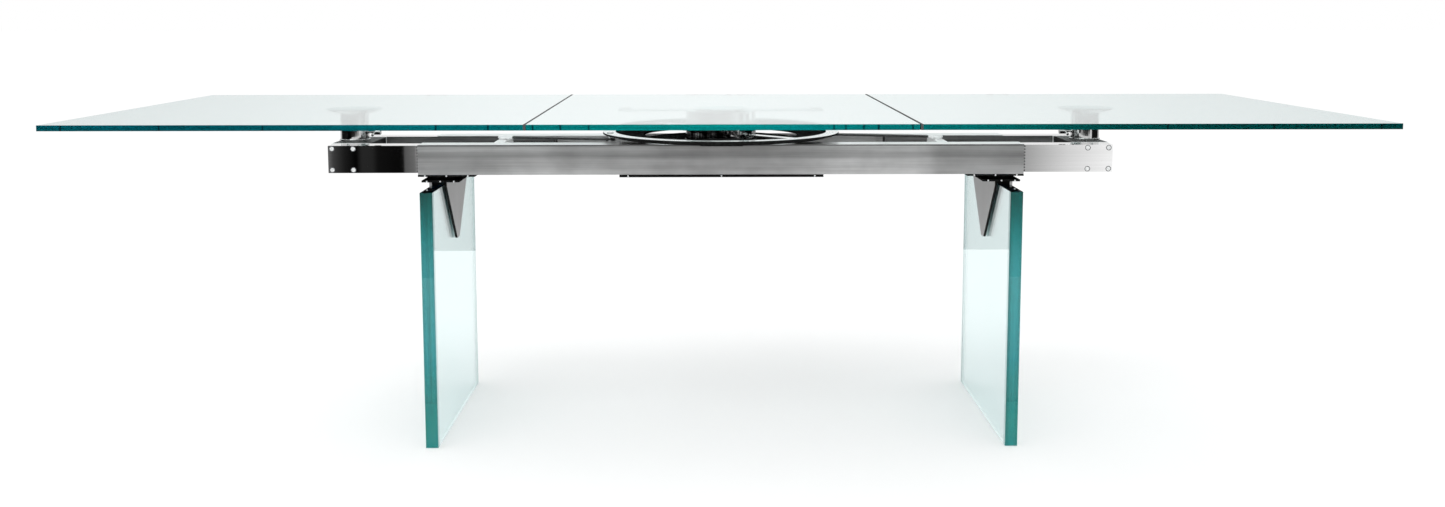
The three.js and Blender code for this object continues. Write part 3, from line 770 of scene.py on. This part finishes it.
def rail_screw(stem, turn, body, bright, dark):
    """Flush screw on a dark disc, a painted shadow of the gap around its head."""
    # painted shadow: a dark disc just proud of the rail, around the screw
    shadow_disc = piece(
        f"rail_screw_shadow_disc_{stem}",
        lambda shape: disc(shape, turn, RAIL_SCREW_RING, RAIL_SCREW_PROUD / 4),
        dark, body,
    )
    head = piece(
        f"rail_screw_{stem}",
        lambda shape: screw_head(
            shape, turn, RAIL_SCREW_RADIUS, RAIL_SCREW_PROUD,
            RAIL_SCREW_RADIUS, RAIL_SCREW_PROUD / 3,
        ),
        bright, body,
    )
    smooth_by_angle(shadow_disc)
    smooth_by_angle(head)


def rail_screws(bright, dark):
    """Screws that hold each rail to its end block, four a rail."""
    for label, side in SIDES.items():
        for face, outward in FACES.items():
            low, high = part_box(f"rail_{face}_{label}")
            outer_x = side * max(abs(low.x), abs(high.x))
            outer_y = low.y if outward < 0 else high.y
            heights = (low.z + RAIL_SCREW_INSET_Z, high.z - RAIL_SCREW_INSET_Z)
            for number, (inset, z) in enumerate(product(RAIL_SCREW_INSET_X, heights), 1):
                turn = facing((outer_x - side * inset, outer_y, z), (0, outward, 0))
                stem = f"{face}_{label}_{number}"
                rail_screw(stem, turn, f"{label}_carriage", bright, dark)


def edge_screws(node, inset, bright):
    """Three small heads along each long edge of a plate."""
    low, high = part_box(node)
    middle = (low + high) / 2
    places = (low.x + inset, middle.x, high.x - inset)
    for face, outward in FACES.items():
        y = low.y if outward < 0 else high.y
        for number, x in enumerate(places, 1):
            turn = facing((x, y, middle.z), (0, outward, 0))
            head = piece(
                f"{node}_screw_{face}_{number}",
                lambda shape: screw_head(
                    shape, turn, EDGE_SCREW_RADIUS, EDGE_SCREW_HEIGHT,
                    EDGE_SCREW_RADIUS, EDGE_SCREW_HEIGHT / 2, COARSE_COUNT,
                ),
                bright, "frame",
            )
            smooth_by_angle(head)


def plate_screws(bright):
    edge_screws("mechanism_plate", MECHANISM_SCREW_INSET, bright)
    for label in SIDES:
        for stem, inset in LEG_PLATE_SCREW_INSETS.items():
            edge_screws(f"{stem}_{label}", inset, bright)


def comb(shape, across_x, across_y, low_z, high_z):
    """Column of square teeth between two heights."""
    count = int((high_z - low_z - 4 * WIPER_TOOTH) / WIPER_PITCH)
    for i in range(count + 1):
        z = low_z + 2 * WIPER_TOOTH + i * WIPER_PITCH
        block(
            shape, (across_x[0], across_y[0], z), (across_x[1], across_y[1], z + WIPER_TOOTH)
        )


def wipers(dark):
    """Toothed strip at each open end of a beam, where the rail slides out."""
    for face, outward in FACES.items():
        low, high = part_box(f"sleeve_{face}")
        outer_y = low.y if outward < 0 else high.y
        across_y = sorted((outer_y - outward * WIPER_SKIN, outer_y - outward * WIPER_DEPTH))
        for label, side in SIDES.items():
            end_x = high.x if side > 0 else low.x
            across_x = sorted((end_x, end_x + side * WIPER_WIDTH))
            piece(
                f"rail_wiper_{face}_{label}",
                lambda shape: comb(shape, across_x, across_y, low.z, high.z),
                dark, "frame",
            )


def lip_strip(shape, start, end, outward):
    """Low crowned strip from start to end, standing off a face along outward."""
    start, end, outward = Vector(start), Vector(end), Vector(outward)
    sideways = (end - start).normalized().cross(outward)
    rings = []
    for point in (start, end):
        rings.append([
            shape.verts.new(
                point + sideways * (u * SEAM_LIP_WIDTH) + outward * (v * SEAM_LIP)
            )
            for u, v in LIP_PROFILE
        ])
    skin(shape, rings)


def lip(shape, x, low, high):
    """Strip over the top of a leaf and down both of its long edges."""
    lip_strip(shape, (x, low.y, high.z), (x, high.y, high.z), (0, 0, 1))
    for y, outward in ((low.y, -1), (high.y, 1)):
        lip_strip(shape, (x, y, low.z), (x, y, high.z), (0, outward, 0))


def seam_lips(dark):
    """Lip of each seam's seal, over the glass edge beside it."""
    for label, side in SIDES.items():
        seal_low, seal_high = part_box(f"seam_seal_{label}")
        low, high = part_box(f"outer_leaf_{label}")
        near = side * min(abs(seal_low.x), abs(seal_high.x))
        middle = near + side * SEAM_LIP_WIDTH / 2
        piece(
            f"seam_lip_{label}", lambda shape: lip(shape, middle, low, high),
            dark, f"{label}_carriage",
        )


def lever(shape, start, end):
    """Tapered rod with a ball end."""
    along = Vector(end) - Vector(start)
    turn = facing(start, along)
    skin(shape, [
        ring_of(shape, [wide * LEVER_RADIUS] * LEVER_COUNT, far * along.length, turn)
        for wide, far in LEVER_PROFILE
    ])


def lock_levers(bright):
    """Lever that sticks out to the front of each lock knob."""
    for label in SIDES:
        low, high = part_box(f"lock_knob_{label}")
        middle = (low + high) / 2
        start = (middle.x, low.y + LEVER_ROOT, middle.z)
        end = (middle.x, low.y - LEVER_REACH, middle.z - LEVER_DROP)
        made = piece(
            f"lock_lever_{label}", lambda shape: lever(shape, start, end),
            bright, f"{label}_carriage",
        )
        smooth_by_angle(made, LEVER_SMOOTH_BELOW)


# ---- studio ---------------------------------------------------------------
def plane(name, corners, material):
    mesh = bpy.data.meshes.new(name)
    mesh.from_pydata(corners, [], [(0, 1, 2, 3)])
    mesh.materials.append(material)
    made = bpy.data.objects.new(name, mesh)
    bpy.context.scene.collection.objects.link(made)
    return made


def glowing(name, axis, low, high, stops):
    """Emission whose strength follows one axis between two places."""
    material, tree, shader = fresh_material(name)
    shade = ramp(tree, place_along(tree, axis, low, high), stops)
    shader.inputs["Base Color"].default_value = (0, 0, 0, 1)
    shader.inputs["Specular IOR Level"].default_value = 0.0
    shader.inputs["Emission Strength"].default_value = 1.0
    tree.links.new(shade, shader.inputs["Emission Color"])
    return material


def card(name, foot, heights, axis, stops):
    """Upright glowing card between two foot points, which shows in reflections only."""
    (start_x, start_y), (end_x, end_y) = foot
    low, high = heights
    reach = heights if axis == UPRIGHT else (start_x, end_x)
    corners = [
        (start_x, start_y, low), (end_x, end_y, low),
        (end_x, end_y, high), (start_x, start_y, high),
    ]
    made = plane(name, corners, glowing(f"{name}_light", axis, *reach, stops))
    made.visible_camera = False
    made.visible_diffuse = False
    made.visible_shadow = False
    made.visible_transmission = False
    made.visible_volume_scatter = False


def add_floor():
    """Pale floor, just below the legs."""
    half = FLOOR_HALF
    material, _, shader = fresh_material("floor_white")
    shader.inputs["Base Color"].default_value = (FLOOR_GREY,) * 3 + (1,)
    shader.inputs["Roughness"].default_value = 0.9
    shader.inputs["Specular IOR Level"].default_value = 0.0
    shader.inputs["Emission Color"].default_value = (1, 1, 1, 1)
    shader.inputs["Emission Strength"].default_value = FLOOR_GLOW
    corners = [(-half, -half), (half, -half), (half, half), (-half, half)]
    plane("floor", [(x, y, -FLOOR_GAP) for x, y in corners], material)


def card_x(table_x):
    """Place on the front card that a point on the beams' front mirrors to the camera."""
    beam_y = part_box("sleeve_front")[0].y
    reach = (beam_y - CARD_Y) / (beam_y - CAMERA_AT[1])
    return table_x + (table_x - CAMERA_AT[0]) * reach


def front_card(name, glows):
    """Card in front, whose glow runs through (place on the table that mirrors it, grey)."""
    stops = [(card_x(x), grey) for x, grey in glows]
    start, end = stops[0][0], stops[-1][0]
    shares = [((x - start) / (end - start), grey) for x, grey in stops]
    card(name, ((start, CARD_Y), (end, CARD_Y)), (CARD_LOW, CARD_MID), LENGTHWISE, shares)


def add_front_cards():
    """Cards that the front beam and rails mirror: dark at the left rail, bright at the right."""
    beam_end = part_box("sleeve_front")[1].x
    rail_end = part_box("rail_front_right")[1].x
    corner = rail_end + 20 * MM
    front_card("front_card_far_left", [(-FARTHEST_MIRRORED, 0.0), (-corner, 0.0)])
    front_card("front_card_left", [
        (-corner, 0.1), (-rail_end - 3 * MM, 0.16), (-0.892, 0.05), (-0.880, 0.03),
        (-0.866, 0.012), (-0.838, 0.0), (-0.826, 0.022), (-0.802, 0.02), (-0.79, 0.006),
        (-0.7295, 0.002), (-0.7285, 0.1), (-beam_end - 6 * MM, 0.15), (-beam_end, 0.5),
    ])
    front_card("front_card_middle", [(-beam_end, 0.5), (beam_end, 0.5)])
    front_card("front_card_right", [(beam_end, 0.38), (0.8, 0.74), (rail_end, 1.0)])
    front_card("front_card_far_right", [(rail_end, 1.0), (FARTHEST_MIRRORED, 1.0)])


def add_other_cards():
    """Faint cards above and beside the table, and brighter ones behind it."""
    upper = ((-CARD_HALF, CARD_Y), (CARD_HALF, CARD_Y))
    rear = ((-CARD_HALF, -CARD_Y), (CARD_HALF, -CARD_Y))
    back = ((-BACK_CARD_HALF, BACK_CARD_Y), (BACK_CARD_HALF, BACK_CARD_Y))
    card("upper_card", upper, (CARD_MID, CARD_HIGH), UPRIGHT, FAINT)
    card("rear_card", rear, (CARD_LOW, CARD_MID), LENGTHWISE, REAR_GLOWS)
    card("back_card", back, (0.0, BACK_CARD_TOP), LENGTHWISE, BACK_GLOWS)
    for label, side in SIDES.items():
        x = side * SIDE_CARD_X
        near, far = SIDE_CARD_Y[label]
        card(f"side_card_{label}", ((x, near), (x, far)), (0.0, CARD_HIGH), UPRIGHT, FAINT)


def add_light():
    """White surroundings and one soft lamp above the front left."""
    world = bpy.data.worlds.new("studio")
    world.use_nodes = True
    background = world.node_tree.nodes["Background"]
    background.inputs["Color"].default_value = (1, 1, 1, 1)
    background.inputs["Strength"].default_value = 1.0
    bpy.context.scene.world = world
    key = bpy.data.lights.new("key", "AREA")
    key.energy = KEY_WATTS
    key.shape = "RECTANGLE"
    key.size, key.size_y = KEY_SIZE
    lamp = bpy.data.objects.new("key", key)
    lamp.matrix_world = facing(KEY_AT, KEY_AWAY)
    bpy.context.scene.collection.objects.link(lamp)


def add_camera():
    scene = bpy.context.scene
    data = bpy.data.cameras.new("camera")
    data.sensor_width = SENSOR_MM
    data.lens = FOCAL_MM
    data.shift_y = SHIFT_UP
    camera = bpy.data.objects.new("camera", data)
    camera.location = CAMERA_AT
    camera.rotation_euler = (math.pi / 2 - CAMERA_TILT, CAMERA_ROLL, CAMERA_PAN)
    scene.collection.objects.link(camera)
    scene.camera = camera
    scene.view_settings.view_transform = "Standard"
    scene.cycles.max_bounces = LONGEST_PATH
    scene.cycles.glossy_bounces = LONGEST_PATH
    scene.cycles.transmission_bounces = LONGEST_PATH


add_camera()
add_light()
add_floor()
add_front_cards()
add_other_cards()
paint_frame()
paint_glass()
screw_zinc = zinc()
rail_screws(screw_zinc, bpy.data.materials["plate_steel"])
plate_screws(screw_zinc)
lock_levers(bpy.data.materials["chrome"])
wipers(bpy.data.materials["rubber"])
seam_lips(bpy.data.materials["rubber"])
